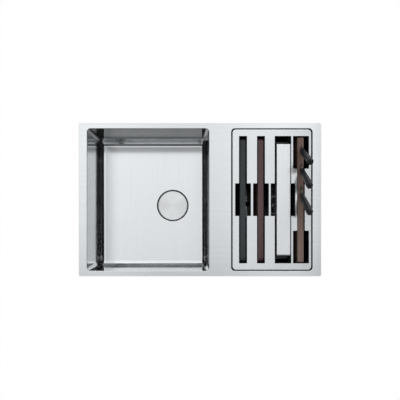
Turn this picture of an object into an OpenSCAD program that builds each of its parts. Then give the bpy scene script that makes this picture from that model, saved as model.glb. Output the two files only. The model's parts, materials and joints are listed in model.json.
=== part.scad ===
// Workstation kitchen sink: one deep bowl on the left and an accessory compartment on the right,
// whose lift-out rack holds two boards, a colander and a knife block under a slotted steel cover.
// Units are millimetres. The origin is the plan centre of the deck, on the plane of the worktop that
// the rim seal rests on. +X is to the user's right, +Y to the back and +Z up.

/* [Deck] */
// Width of the deck, left to right
deck_w = 810; // [790:1:850]
// Depth of the deck, front to back
deck_d = 512; // [508:1:530]
// Height of the deck's face above the worktop
deck_rise = 3; // [2.5:0.1:5]
// Radius of the deck's outer corners
deck_corner = 6; // [4:0.5:12]
// Width of the bevel along the deck's outer edge
deck_bevel = 1.6; // [1:0.1:2]
// Thickness of the sheet steel
sheet = 1.2; // [1:0.1:1.5]
// Radius of the bend where a basin's wall meets the deck
lip_bend = 1.5; // [1.5:0.5:5]

/* [Basins] */
// Front-to-back length of both basins
basin_d = 475; // [450:1:480]
// Depth of both basins under the deck's face
basin_depth = 200; // [180:5:220]
// Radius of the basins' upright corners and of their floor fillets
basin_corner = 12; // [10:1:20]
// Left wall of the bowl, from the sink's centre
bowl_left = -377; // [-385:1:-370]
// Right wall of the bowl
bowl_right = 30; // [20:1:40]
// Left wall of the accessory compartment
box_left = 105; // [95:1:110]
// Right wall of the accessory compartment
box_right = 375; // [370:1:385]

/* [Bowl waste] */
// Place of the waste, left to right
waste_x = -99; // [-200:0.5:-80]
// Place of the waste, front to back
waste_y = -7; // [-100:1:100]
// Radius of the pressed seat round the waste
seat_r = 60; // [58:0.5:64]
// Depth of the pressed seat under the bowl's floor
seat_depth = 7; // [6:0.5:8]
// Radius of the cover disc over the waste
disc_r = 55; // [52:0.5:57]
// Radius of the spigot that the trap joins
outlet_r = 20; // [16:0.5:20]
// Length of that spigot
outlet_l = 38; // [25:1:60]

/* [Compartment drain and hose] */
// Place of the compartment's drain, left to right
drain_x = 143.5; // [140:0.5:200]
// Outer radius of the drain's tube
drain_r = 16; // [12:0.5:18]
// Fall of the hose toward the bowl's waste, in degrees
hose_fall = 3; // [1:0.5:5]
// Bore radius of the hose
hose_bore = 9.6; // [8:0.1:12]
// Number of corrugations along the hose
hose_rings = 21; // [12:1:30]

/* [Slotted cover] */
// Gap between the cover and the compartment's wall
cover_gap = 2.5; // [2:0.5:4]
// Thickness of the cover
cover_t = 2; // [1.5:0.1:3]
// Depth of the cover's turned-down skirt
skirt_depth = 12; // [8:1:20]
// Length of the four slots
slot_l = 425; // [420:1:430]
// Slots: centre from the sink's centre, narrow width and wide width
slots = [[143.5, 26.8, 52.8], [203.4, 26.5, 52.8], [276.8, 55.2, 82], [336.9, 25.6, 53]];
// Length of the wide finger cut-outs
finger_l = 109; // [90:1:120]

/* [Accessories] */
// Height of the boards, the colander and the block in the rack
tool_h = 187; // [170:1:187]
// Length of the boards
board_l = 417; // [400:1:418]
// Thickness of the boards
board_t = 19; // [15:0.5:20]
// Corner radius of the boards
board_corner = 18; // [10:1:30]
// Length of the colander's steel tray
tray_l = 377; // [350:1:380]
// Depth of the colander's steel tray
tray_w = 48; // [40:0.5:49]
// Place of the tray to the right of its slot's middle
tray_shift = 1.5; // [0:0.1:2]
// Length of the knife block
block_l = 421; // [410:1:422]
// Thickness of the knife block
block_t = 21; // [18:0.5:22]
// Knives: place along the block, blade length, blade height and lean toward the front in degrees
knives = [[169, 64, 20, 31.6], [102.5, 136, 28, 35.7], [20, 196, 44, 35.7]];
// Place of the knives' slots to the right of the block's middle
knife_shift = 2; // [0:0.5:3]
// Length of a knife's handle
handle_l = 112; // [100:1:125]
// Height of a knife's handle
handle_h = 21; // [19:0.5:24]
// Thickness of a knife's handle
handle_t = 19; // [15:0.5:20]

/* [Worktop clips] */
// Thickness of the worktop that the clips are set for
worktop_t = 30; // [26:1:40]

/* [Hidden] */
$fn = 48;

steel = [0.78, 0.79, 0.80];
bright_steel = [0.88, 0.89, 0.90];
black = [0.10, 0.11, 0.12];
rubber = [0.16, 0.16, 0.17];
charcoal = [0.23, 0.25, 0.26];
red_brown = [0.34, 0.25, 0.26];
brown = [0.40, 0.31, 0.28];

// deck and basins
deck_under = deck_rise - sheet;
floor_z = deck_rise - basin_depth;
bowl_w = bowl_right - bowl_left;
bowl_x = (bowl_right + bowl_left) / 2;
box_w = box_right - box_left;
box_x = (box_right + box_left) / 2;
hem = 3;
edge_gap = 0.3;
seal_w = 6;

// bowl waste, from the seat downward
seat_z = floor_z - seat_depth;
seat_hole = 45;
gasket_t = 1;
flange_z = seat_z + gasket_t;
flange_r = 56;
cup_r = 42;
cup_depth = 30;
cup_z = flange_z + sheet - cup_depth;
body_gasket_t = 2;
body_top = seat_z - sheet - body_gasket_t;
body_r = 44.5;
body_wall = 3;
body_bottom = body_top - 46;
outlet_top = body_bottom - 12;
outlet_bottom = outlet_top - outlet_l;
bolt_r = 3;
bolt_head_r = 5.5;
basket_r = 37;
basket_top = flange_z - 3;
basket_floor = cup_z + 6;

// worktop clips, with y counted outward from a basin's wall
clip_w = 24;
clip_from = 2;
clip_reach = 8;
clip_drop = 22;
clip_screw_y = 5.5;
clip_places = [-310, -60, 170, 330];
clip_side_y = 150;

// compartment drain and hose
hose_start = 72;
hose_z = body_top - 30;
elbow_z = hose_z + (drain_x - waste_x) * tan(hose_fall);
drain_end = elbow_z + 4;
elbow_r = drain_r + 2.5;
elbow_at = (drain_x - waste_x) / cos(hose_fall);
stub_r = 9.5;
stub_bore = 7.5;
grip_l = 20;
hose_wall = 1.2;
hose_end = elbow_at - elbow_r - 1.5;
hose_l = hose_end - hose_start;

// rack
cover_w = box_w - 2 * cover_gap;
cover_d = basin_d - 2 * cover_gap;
cover_corner = basin_corner;
cover_under = deck_rise - cover_t;
skirt_t = 1.5;
rack_w = cover_w - 2 * skirt_t - 2;
rack_d = cover_d - 2 * skirt_t - 8;
wall_t = 2.5;
foot_h = 6;
base_t = 3;
base_z = floor_z + foot_h;
base_top = base_z + base_t;
guide_gap = 0.3;
finger_depth = 72;
finger_y = finger_l / 2;
end_y = slot_l / 2 - finger_l;

// accessories
tray_x = slots[2][0] + tray_shift;
tray_sheet = 1;
tray_corner = 5;
board_edge = 1.5;
tool_mid = base_top + tool_h / 2;
tool_top = base_top + tool_h;
blade_t = 2.2;
knife_slot_t = 3.4;
slot_margin = 4;
neck = 9;
neck_t = 12;
collar_l = 3;
collar_inset = 3;

// ---------------------------------------------------------------- shared shapes

// A rectangle with round corners, centred.
module round_rect(w, d, r) {
  square([w - 2 * r, d], center = true);
  square([w, d - 2 * r], center = true);
  for (sx = [-1, 1], sy = [-1, 1]) {
    translate([sx * (w / 2 - r), sy * (d / 2 - r)])
      circle(r);
  }
}

// Carries a profile round a rounded rectangle. The profile's x is counted outward from the axis of a
// corner, and its y is the height.
module carried_round(w, d, r) {
  for (k = [0:3]) {
    sx = (k == 0 || k == 3) ? 1 : -1;
    sy = (k < 2) ? 1 : -1;
    reach = (k % 2 == 0) ? w / 2 : d / 2;
    run = (k % 2 == 0) ? d - 2 * r : w - 2 * r;
    translate([sx * (w / 2 - r), sy * (d / 2 - r), 0])
      rotate([0, 0, 90 * k])
        rotate_extrude(angle = 90)
          children();
    rotate([0, 0, 90 * k])
      translate([reach - r, 0, 0])
        rotate([90, 0, 0])
          linear_extrude(run, center = true)
            children();
  }
}

// A quarter of a ring, from angle `turn` on.
module quarter_ring(outer, inner, turn) {
  rotate(turn)
    intersection() {
      difference() {
        circle(outer);
        if (inner > 0)
          circle(inner);
      }
      square(outer + 1);
    }
}

// Profile of a sheet that bends down out of the plane `top` at x >= at + lip_bend, and ends at `low`.
module rolled_lip(at, top, low) {
  translate([at + lip_bend, top - lip_bend])
    quarter_ring(lip_bend, lip_bend - sheet, 90);
  translate([at, low])
    square([sheet, top - lip_bend - low]);
}

// A basin's round: the bend at the deck, the wall and the fillet at the floor.
module basin_shell(w, d) {
  r = basin_corner;
  carried_round(w, d, r) {
    rolled_lip(r, deck_rise, floor_z + r);
    translate([0, floor_z + r])
      quarter_ring(r + sheet, r, 270);
  }
}

// The basin's flat floor, with a round hole at `at` of radius `hole`.
module basin_floor(w, d, at, hole) {
  translate([0, 0, floor_z - sheet])
    linear_extrude(sheet)
      difference() {
        square([w - 2 * basin_corner, d - 2 * basin_corner], center = true);
        translate(at)
          circle(hole);
      }
}

// A slab with round corners in plan and rounded long edges, lying in XY and centred.
module soft_slab(l, w, t, corner, edge) {
  cube([l - 2 * corner, w - 2 * corner, t], center = true);
  carried_round(l, w, corner) {
    translate([0, -t / 2])
      square([corner - edge, t]);
    translate([0, edge - t / 2])
      square([corner, t - 2 * edge]);
    for (s = [-1, 1]) {
      translate([corner - edge, s * (t / 2 - edge)])
        circle(edge);
    }
  }
}

// A ring of rectangular section about Z.
module ring(outer, inner, z, h) {
  translate([0, 0, z])
    difference() {
      cylinder(h = h, r = outer);
      translate([0, 0, -1])
        cylinder(h = h + 2, r = inner);
    }
}

module at_waste() {
  translate([waste_x, waste_y, 0])
    children();
}

// Turns the hose's own X axis, from the bowl's waste upward to the compartment's drain.
module along_hose() {
  translate([waste_x, waste_y, hose_z])
    rotate([0, -hose_fall, 0])
      children();
}

// ---------------------------------------------------------------- welded steel

// Outer edge of the deck: a flat, a bevel and a short upright, in sheet of even thickness.
module deck_edge_profile() {
  out = deck_corner;
  mitre = sheet * tan(22.5);
  polygon([
    [out - hem, deck_rise],
    [out - deck_bevel, deck_rise],
    [out, deck_rise - deck_bevel],
    [out, edge_gap],
    [out - sheet, edge_gap],
    [out - sheet, deck_rise - deck_bevel - mitre],
    [out - deck_bevel - mitre, deck_under],
    [out - hem, deck_under]
  ]);
}

module deck() {
  color(steel) {
    carried_round(deck_w, deck_d, deck_corner)
      deck_edge_profile();
    translate([0, 0, deck_under])
      linear_extrude(sheet)
        difference() {
          round_rect(deck_w - 2 * hem, deck_d - 2 * hem, deck_corner - hem);
          translate([bowl_x, 0])
            round_rect(bowl_w + 2 * lip_bend, basin_d + 2 * lip_bend, basin_corner + lip_bend);
          translate([box_x, 0])
            round_rect(box_w + 2 * lip_bend, basin_d + 2 * lip_bend, basin_corner + lip_bend);
        }
  }
}

module main_bowl() {
  color(bright_steel) {
    translate([bowl_x, 0, 0]) {
      basin_shell(bowl_w, basin_d);
      basin_floor(bowl_w, basin_d, [waste_x - bowl_x, waste_y], seat_r + lip_bend);
    }
    at_waste()
      rotate_extrude() {
        rolled_lip(seat_r, floor_z, seat_z);
        translate([seat_hole, seat_z - sheet])
          square([seat_r + sheet - seat_hole, sheet]);
      }
  }
}

module accessory_box() {
  color(steel)
    translate([box_x, 0, 0]) {
      basin_shell(box_w, basin_d);
      basin_floor(box_w, basin_d, [drain_x - box_x, waste_y], drain_r + 0.3);
    }
}

// ---------------------------------------------------------------- seal, pads and clips

module rim_seal() {
  color(rubber)
    linear_extrude(deck_under)
      difference() {
        round_rect(deck_w - 2 * hem, deck_d - 2 * hem, deck_corner - hem);
        round_rect(deck_w - 2 * (hem + seal_w), deck_d - 2 * (hem + seal_w), deck_corner);
      }
}

// Sound pads: flat sheets on the bowl's outer walls and under its floor.
module damping_pads() {
  pad_t = 3;
  side_h = 110;
  side_z = floor_z + basin_depth / 2;
  floor_pad = [bowl_w - 120, 110];
  color(rubber) {
    for (s = [-1, 1]) {
      translate([bowl_x, s * (basin_d / 2 + sheet + pad_t / 2), side_z])
        cube([bowl_w - 140, pad_t, side_h], center = true);
      translate([bowl_x + s * (bowl_w / 2 + sheet + pad_t / 2), 0, side_z])
        cube([pad_t, basin_d - 160, side_h], center = true);
      translate([bowl_x, s * (basin_d / 2 - 85), floor_z - sheet - pad_t / 2])
        cube([floor_pad[0], floor_pad[1], pad_t], center = true);
    }
  }
}

// Carries a clip to each of its places: y points outward from a basin's wall.
module at_clips() {
  for (s = [-1, 1], x = clip_places) {
    translate([x, s * (basin_d / 2 + sheet), 0])
      rotate([0, 0, s > 0 ? 0 : 180])
        children();
  }
  for (y = [-clip_side_y, clip_side_y]) {
    translate([bowl_left - sheet, y, 0])
      rotate([0, 0, 90])
        children();
    translate([box_right + sheet, y, 0])
      rotate([0, 0, -90])
        children();
  }
}

// A C-shaped bracket under the deck, clear of the bend, with a hole in its lower tab.
module clip_brackets() {
  bracket_t = 1.2;
  tab = clip_reach - clip_from;
  color(bright_steel)
    at_clips() {
      difference() {
        union() {
          translate([-clip_w / 2, clip_from, deck_under - clip_drop])
            cube([clip_w, bracket_t, clip_drop]);
          for (z = [deck_under - bracket_t, deck_under - clip_drop]) {
            translate([-clip_w / 2, clip_from, z])
              cube([clip_w, tab, bracket_t]);
          }
        }
        translate([0, clip_screw_y, deck_under - clip_drop - 1])
          cylinder(h = bracket_t + 2, r = 2.05);
      }
    }
}

// A bent claw: its toothed tip bears up on the worktop's underside.
module clip_claws() {
  claw_t = 2;
  tip_y = 15;
  color(bright_steel)
    at_clips() {
      difference() {
        translate([-7, 0, 0])
          rotate([90, 0, 90])
            linear_extrude(14)
              polygon([
                [1, -worktop_t - 6],
                [tip_y, -worktop_t - 4],
                [tip_y + 1, -worktop_t],
                [tip_y - 1.5, -worktop_t - 1.5],
                [tip_y - 2, -worktop_t - 4 + claw_t],
                [1, -worktop_t - 6 + claw_t]
              ]);
        translate([0, clip_screw_y, -worktop_t - 10])
          cylinder(h = 10, r = 2.1);
      }
    }
}

module clip_screws() {
  head_z = -worktop_t - 9.6;
  color(bright_steel)
    at_clips()
      translate([0, clip_screw_y, head_z]) {
        cylinder(h = 3.5, r = 3.1, $fn = 6);
        translate([0, 0, 3])
          cylinder(h = deck_under - clip_drop + 4 - head_z - 3, r = 2);
      }
}

// ---------------------------------------------------------------- bowl waste

// Flange with its cup. The cup's floor is a flat seat for the basket's seal, with three arms to a hub.
module waste_flange() {
  seat_bore = 30;
  hub_r = 8;
  arm_w = 6;
  color(bright_steel)
    at_waste() {
      ring(flange_r, cup_r, flange_z, sheet);
      ring(cup_r + sheet, cup_r, cup_z, flange_z - cup_z);
      translate([0, 0, cup_z - sheet])
        linear_extrude(sheet)
          difference() {
            union() {
              difference() {
                circle(cup_r + sheet);
                circle(seat_bore);
              }
              circle(hub_r);
              for (a = [0:120:240]) {
                rotate(a)
                  translate([0, -arm_w / 2])
                    square([seat_bore + 1, arm_w]);
              }
            }
            circle(bolt_r + 0.2);
          }
    }
}

module waste_upper_gasket() {
  color(rubber)
    at_waste()
      ring(seat_r - edge_gap, seat_hole, seat_z, gasket_t);
}

module waste_lower_gasket() {
  color(rubber)
    at_waste()
      ring(flange_r, seat_hole, seat_z - sheet - body_gasket_t, body_gasket_t);
}

// Moulded body under the bowl: cup, cone and spigot, with a hub on three ribs and the hose's stub.
module waste_body() {
  color(black)
    difference() {
      union() {
        at_waste() {
          rotate_extrude()
            polygon([
              [body_r, body_top],
              [flange_r + 1, body_top],
              [flange_r + 1, body_top - 5],
              [body_r + body_wall, body_top - 7],
              [body_r + body_wall, body_bottom],
              [outlet_r, outlet_top],
              [outlet_r, outlet_bottom],
              [outlet_r - 2.5, outlet_bottom],
              [outlet_r - 2.5, outlet_top + 1],
              [body_r, body_bottom + 3]
            ]);
          translate([0, 0, body_bottom + 2])
            cylinder(h = 16, r = 7.5);
          for (a = [60, 180, 300]) {
            rotate([0, 0, a])
              translate([5, -1.5, body_bottom + 4])
                cube([body_r - 4, 3, 10]);
          }
        }
        along_hose()
          rotate([0, 90, 0])
            difference() {
              cylinder(h = hose_start + grip_l, r = stub_r);
              cylinder(h = body_r + 0.5, r = stub_r + 1);
            }
      }
      along_hose()
        translate([body_r - 8, 0, 0])
          rotate([0, 90, 0])
            cylinder(h = hose_start, r = stub_bore);
      at_waste()
        translate([0, 0, body_bottom + 6])
          cylinder(h = 20, r = bolt_r);
    }
}

module waste_bolt() {
  color(bright_steel)
    at_waste() {
      translate([0, 0, cup_z])
        cylinder(h = 2.5, r = bolt_head_r);
      translate([0, 0, body_bottom + 7])
        cylinder(h = cup_z - body_bottom - 7 + 0.5, r = bolt_r - 0.05);
    }
}

// ---------------------------------------------------------------- lift-out basket and cover disc

module basket_strainer() {
  color(bright_steel)
    at_waste()
      difference() {
        union() {
          ring(basket_r + 3.5, basket_r - 1, basket_top - 1, 1);
          ring(basket_r, basket_r - 1, basket_floor, basket_top - basket_floor);
          translate([0, 0, basket_floor])
            cylinder(h = 1, r = basket_r - 0.5);
        }
        for (a = [0:45:315]) {
          rotate([0, 0, a])
            translate([24, 0, basket_floor - 1])
              cylinder(h = 3, r = 4);
        }
        for (a = [0:60:300]) {
          rotate([0, 0, a])
            translate([12.5, 0, basket_floor - 1])
              cylinder(h = 3, r = 2.5);
        }
      }
}

// The seal hangs under the basket on a hub, and shuts the flange's holes while the basket is down.
module basket_seal() {
  seal_t = 2.6;
  hub_r = 9;
  color(rubber)
    at_waste()
      rotate_extrude()
        polygon([
          [bolt_head_r + 0.5, cup_z],
          [basket_r + 1, cup_z],
          [basket_r, cup_z + seal_t],
          [hub_r, cup_z + seal_t],
          [hub_r, basket_floor],
          [bolt_head_r + 0.5, basket_floor]
        ]);
}

module basket_knob() {
  color(black)
    at_waste() {
      translate([0, 0, basket_floor + 1])
        cylinder(h = basket_top - basket_floor - 4, r = 3);
      translate([0, 0, basket_top - 4])
        cylinder(h = 4, r = 9);
    }
}

// Cover disc: slightly dished face, turned-down edge and four feet that stand on the flange.
module waste_cover_disc() {
  disc_top = floor_z - 0.6;
  skirt_end = disc_top - 2;
  feet_z = flange_z + sheet;
  color(bright_steel)
    at_waste() {
      rotate_extrude()
        polygon([
          [0, disc_top + 0.2],
          [disc_r - 1, disc_top],
          [disc_r, disc_top - 1],
          [disc_r, skirt_end],
          [disc_r - sheet, skirt_end],
          [disc_r - sheet, disc_top - sheet],
          [0, disc_top - 1]
        ]);
      for (a = [45:90:315]) {
        rotate([0, 0, a])
          translate([disc_r - 6, 0, feet_z])
            cylinder(h = disc_top - 0.6 - feet_z, r = 2.5);
      }
    }
}

// ---------------------------------------------------------------- compartment drain and hose

module at_drain() {
  translate([drain_x, waste_y, 0])
    children();
}

module box_drain_tube() {
  color(black)
    at_drain() {
      ring(drain_r + 8, drain_r - 3, floor_z, 2);
      ring(drain_r, drain_r - 3, drain_end, floor_z - drain_end);
      for (a = [0, 90]) {
        rotate([0, 0, a])
          translate([-drain_r + 2, -1, floor_z - 2])
            cube([2 * drain_r - 4, 2, 2.5]);
      }
    }
}

module box_drain_seal() {
  color(rubber)
    at_drain()
      ring(drain_r + 7, drain_r + 0.3, floor_z - sheet - 2, 2);
}

module box_drain_nut() {
  color(black)
    at_drain()
      translate([0, 0, floor_z - sheet - 9])
        difference() {
          cylinder(h = 7, r = drain_r + 9, $fn = 8);
          translate([0, 0, -1])
            cylinder(h = 9, r = drain_r);
        }
}

// Elbow: a socket with a ball corner under the tube, and a plain arm along the hose's axis.
module box_drain_elbow() {
  socket_h = 14;
  arm_start = hose_end - grip_l;
  color(black)
    difference() {
      union() {
        at_drain() {
          translate([0, 0, elbow_z])
            cylinder(h = socket_h, r = elbow_r);
          translate([0, 0, elbow_z])
            sphere(r = elbow_r);
        }
        along_hose()
          translate([arm_start, 0, 0])
            rotate([0, 90, 0])
              cylinder(h = elbow_at - arm_start, r = stub_r);
      }
      at_drain() {
        translate([0, 0, drain_end])
          cylinder(h = 20, r = drain_r);
        translate([0, 0, elbow_z])
          cylinder(h = 20, r = drain_r - 3);
        translate([0, 0, elbow_z])
          sphere(r = drain_r - 3);
      }
      along_hose()
        translate([arm_start - 1, 0, 0])
          rotate([0, 90, 0])
            cylinder(h = elbow_at - arm_start, r = stub_bore);
    }
}

// Corrugated hose: a profile of even rings turned about its own axis, with a plain cuff at each end.
module drain_hose() {
  cuff = grip_l + 2;
  wave = (hose_l - 2 * cuff) / hose_rings;
  crest = 2.4;
  function ring_points(lift) = [
    for (i = [0:hose_rings - 1])
      for (p = [[0, 0], [0.2, 1], [0.55, 1], [0.75, 0]])
        [hose_bore + lift + p[1] * crest, cuff + (i + p[0]) * wave]
  ];
  function back(points) = [for (i = [len(points) - 1:-1:0]) points[i]];
  color(black)
    along_hose()
      translate([hose_start, 0, 0])
        rotate([0, 90, 0])
          rotate_extrude()
            polygon(concat(
              [[hose_bore + hose_wall, 0]],
              ring_points(hose_wall),
              [[hose_bore + hose_wall, hose_l], [hose_bore, hose_l]],
              back(ring_points(0)),
              [[hose_bore, 0]]
            ));
}

module hose_clamps() {
  band_w = 9;
  outer = hose_bore + hose_wall;
  color(bright_steel)
    along_hose()
      for (x = [hose_start + 5, hose_end - 5 - band_w]) {
        translate([x, 0, 0]) {
          rotate([0, 90, 0])
            ring(outer + 0.8, outer, 0, band_w);
          translate([0, -4, outer + 0.6])
            cube([band_w, 8, 5]);
        }
      }
}

// ---------------------------------------------------------------- rack and slotted cover

// Outline of slot i: narrow, with wide finger cut-outs in the middle, or at both ends on the last.
module slot_outline(i) {
  s = slots[i];
  r = 1.5;
  translate([s[0], 0]) {
    round_rect(s[1], slot_l, r);
    if (i < len(slots) - 1)
      round_rect(s[2], finger_l, r);
    else
      for (e = [-1, 1]) {
        translate([0, e * (end_y + finger_y)])
          round_rect(s[2], finger_l, r);
      }
  }
}

module slotted_cover() {
  color(bright_steel) {
    translate([0, 0, cover_under])
      linear_extrude(cover_t)
        difference() {
          translate([box_x, 0])
            round_rect(cover_w - 2 * cover_t, cover_d - 2 * cover_t, cover_corner - cover_t);
          for (i = [0:len(slots) - 1]) {
            slot_outline(i);
          }
        }
    translate([box_x, 0, 0])
      carried_round(cover_w, cover_d, cover_corner) {
        translate([cover_corner - cover_t, cover_under])
          quarter_ring(cover_t, 0, 0);
        translate([cover_corner - skirt_t, deck_rise - skirt_depth])
          square([skirt_t, skirt_depth - cover_t]);
      }
  }
}

// Two side rails joined by seven bars, open between them so that water runs off.
module rack_base() {
  rail_w = 30;
  bar_w = 16;
  bars = 7;
  pitch = (rack_d - bar_w) / (bars - 1);
  color(black)
    translate([box_x, 0, base_z])
      linear_extrude(base_t) {
        for (s = [-1, 1]) {
          translate([s * (rack_w - rail_w) / 2, 0])
            square([rail_w, rack_d], center = true);
        }
        for (i = [0:bars - 1]) {
          translate([0, (i - (bars - 1) / 2) * pitch])
            square([rack_w, bar_w], center = true);
        }
      }
}

// An upright frame with round-cornered windows, standing in XZ and centred on X.
module window_frame(l, h, t, bays, margin) {
  bay = (l - margin) / bays;
  rotate([90, 0, 0])
    linear_extrude(t, center = true)
      difference() {
        translate([-l / 2, 0])
          square([l, h]);
        for (i = [0:bays - 1]) {
          translate([-l / 2 + margin / 2 + bay * (i + 0.5), h / 2])
            round_rect(bay - margin, h - 2 * margin, 6);
        }
      }
}

module rack_side_frames() {
  color(black)
    for (s = [-1, 1]) {
      translate([box_x + s * (rack_w - wall_t) / 2, 0, base_top])
        rotate([0, 0, 90])
          window_frame(rack_d - 12, cover_under - base_top, wall_t, 5, 18);
    }
}

module rack_end_frames() {
  color(black)
    for (s = [-1, 1]) {
      translate([box_x, s * (rack_d - wall_t) / 2, base_top])
        window_frame(rack_w - 12, cover_under - base_top, wall_t, 3, 18);
    }
}

// Guide wall in YZ, lowered for the fingers between y = low_from and y = low_to and so on the other
// side.
module guide_wall(low_from, low_to) {
  h = cover_under - base_top;
  l = rack_d - 2 * wall_t - 1;
  rotate([90, 0, 90])
    linear_extrude(wall_t, center = true)
      difference() {
        translate([-l / 2, 0])
          square([l, h]);
        for (s = [-1, 1]) {
          translate([s * (low_from + low_to) / 2, h])
            round_rect(low_to - low_from, 2 * finger_depth, 8);
        }
      }
}

module rack_guides() {
  color(black)
    for (i = [0:len(slots) - 1], side = [-1, 1]) {
      s = slots[i];
      translate([s[0] + side * (s[1] / 2 + guide_gap + wall_t / 2), 0, base_top])
        if (i < len(slots) - 1)
          guide_wall(-finger_y - 4, finger_y + 4);
        else
          guide_wall(end_y - 4, rack_d / 2 + 10);
    }
}

module rack_feet() {
  color(rubber)
    for (sx = [-1, 1], sy = [-1, 1]) {
      translate([box_x + sx * (rack_w / 2 - 18), sy * (rack_d / 2 - 18), floor_z])
        cylinder(h = foot_h, r1 = 8, r2 = 10);
    }
}

// ---------------------------------------------------------------- boards, colander and knife block

// A board stands on its long edge in the slot at x = at.
module board(at) {
  translate([at, 0, tool_mid])
    rotate([90, 0, 90])
      soft_slab(board_l, tool_h, board_t, board_corner, board_edge);
}

module charcoal_board() {
  color(charcoal)
    board(slots[0][0]);
}

module red_brown_board() {
  color(red_brown)
    board(slots[1][0]);
}

// The colander stands on its long side, its perforated floor to the left and its mouth to the right.
module colander_tray() {
  rows = 5;
  columns = 12;
  pitch_l = 29;
  pitch_h = 32;
  color(bright_steel)
    translate([tray_x - tray_w / 2, 0, tool_mid])
      rotate([90, 0, 90]) {
        carried_round(tray_l, tool_h, tray_corner) {
          translate([tray_corner - tray_sheet, tray_corner])
            square([tray_sheet, tray_w - tray_corner]);
          translate([0, tray_corner])
            quarter_ring(tray_corner, tray_corner - tray_sheet, 270);
        }
        linear_extrude(tray_sheet)
          difference() {
            square([tray_l - 2 * tray_corner, tool_h - 2 * tray_corner], center = true);
            for (i = [0:columns - 1], j = [0:rows - 1]) {
              translate([(i - (columns - 1) / 2) * pitch_l, (j - (rows - 1) / 2) * pitch_h])
                circle(6);
            }
          }
      }
}

// Two moulded grips on the colander's ends, each hollowed on its outer face for the fingers.
module colander_grips() {
  grip_t = 9.6;
  grip_h = 150;
  color(black)
    for (s = [-1, 1]) {
      translate([tray_x, s * (tray_l / 2 + grip_t / 2), tool_mid])
        difference() {
          cube([tray_w - 6, grip_t, grip_h], center = true);
          translate([0, s * (grip_t / 2 + 24), 0])
            rotate([0, 90, 0])
              cylinder(h = tray_w, r = 30, center = true, $fn = 96);
        }
    }
}

// Turns a knife's own frame: Z runs up its handle and Y from its spine to its edge.
module at_knife(k) {
  translate([slots[3][0] + knife_shift, knives[k][0], tool_top])
    rotate([knives[k][3], 0, 0])
      children();
}

// The block's slots stop short of its ends.
module knife_block() {
  color(brown)
    difference() {
      translate([slots[3][0], 0, tool_mid])
        rotate([90, 0, 90])
          soft_slab(block_l, tool_h, block_t, 6, 1.5);
      intersection() {
        translate([slots[3][0], 0, tool_mid])
          cube([block_t, block_l - 2 * slot_margin, tool_h + 100], center = true);
        union() {
          for (k = [0:len(knives) - 1]) {
            at_knife(k)
              translate([-knife_slot_t / 2, -knives[k][2] / 2 - 1, -knives[k][1] - 3])
                cube([knife_slot_t, knives[k][2] + 2, knives[k][1] + 50]);
          }
        }
      }
    }
}

// Side outline of a blade: straight spine at -h / 2, curved edge, and point at the spine's end.
module blade_outline(l, h) {
  belly = l * 1.05;
  intersection() {
    translate([-h / 2, -l])
      square([h, l]);
    translate([h / 2 - belly, -l + belly * sqrt(1 - pow(1 - h / belly, 2))])
      union() {
        circle(belly, $fn = 180);
        translate([-belly, 0])
          square([2 * belly, l]);
      }
  }
}

// A blade ground from its spine to a fine edge, with a collar where the handle begins.
module blade(k) {
  l = knives[k][1];
  h = knives[k][2];
  edge_t = 0.4;
  collar_w = handle_h - 2 * collar_inset;
  color(bright_steel)
    at_knife(k) {
      intersection() {
        rotate([90, 0, 90])
          linear_extrude(blade_t, center = true)
            blade_outline(l, h);
        translate([0, 0, -l])
          linear_extrude(l)
            polygon([
              [-blade_t / 2, -h / 2],
              [blade_t / 2, -h / 2],
              [edge_t / 2, h / 2],
              [-edge_t / 2, h / 2]
            ]);
      }
      translate([-blade_t / 2, -collar_w / 2, 0])
        cube([blade_t, collar_w, neck - 2]);
      translate([-neck_t / 2 + 1, -collar_w / 2, neck - collar_l])
        cube([neck_t - 2, collar_w, collar_l]);
    }
}

// Outline of a handle from one side: a neck, a swell and a round butt.
module handle_outline(neck_w, w, butt) {
  polygon([
    [-neck_w / 2, 0],
    [neck_w / 2, 0],
    [w / 2, handle_l * 0.7],
    [w / 2, handle_l - butt],
    [-w / 2, handle_l - butt],
    [-w / 2, handle_l * 0.7]
  ]);
  translate([butt - w / 2, handle_l - 2 * butt])
    square([w - 2 * butt, 2 * butt]);
  for (s = [-1, 1]) {
    translate([s * (w / 2 - butt), handle_l - butt])
      circle(butt);
  }
}

// A handle with eight long facets, narrow at the neck and round at the butt.
module handle(k) {
  facet = 4.5;
  waist = 1.2;
  end_round = 7;
  color(black)
    at_knife(k)
      translate([0, 0, neck])
        intersection() {
          linear_extrude(handle_l)
            polygon([
              [-handle_t / 2 + facet, -handle_h / 2],
              [handle_t / 2 - facet, -handle_h / 2],
              [handle_t / 2, -handle_h / 2 + facet],
              [handle_t / 2, handle_h / 2 - facet],
              [handle_t / 2 - facet, handle_h / 2],
              [-handle_t / 2 + facet, handle_h / 2],
              [-handle_t / 2, handle_h / 2 - facet],
              [-handle_t / 2, -handle_h / 2 + facet]
            ]);
          rotate([90, 0, 90])
            linear_extrude(handle_t + 2, center = true)
              handle_outline(handle_h - 2 * waist, handle_h, end_round + 2);
          rotate([90, 0, 0])
            linear_extrude(handle_h + 2, center = true)
              handle_outline(neck_t, handle_t, end_round);
        }
}

module rear_knife_blade() { blade(0); }
module rear_knife_handle() { handle(0); }
module middle_knife_blade() { blade(1); }
module middle_knife_handle() { handle(1); }
module front_knife_blade() { blade(2); }
module front_knife_handle() { handle(2); }

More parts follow.
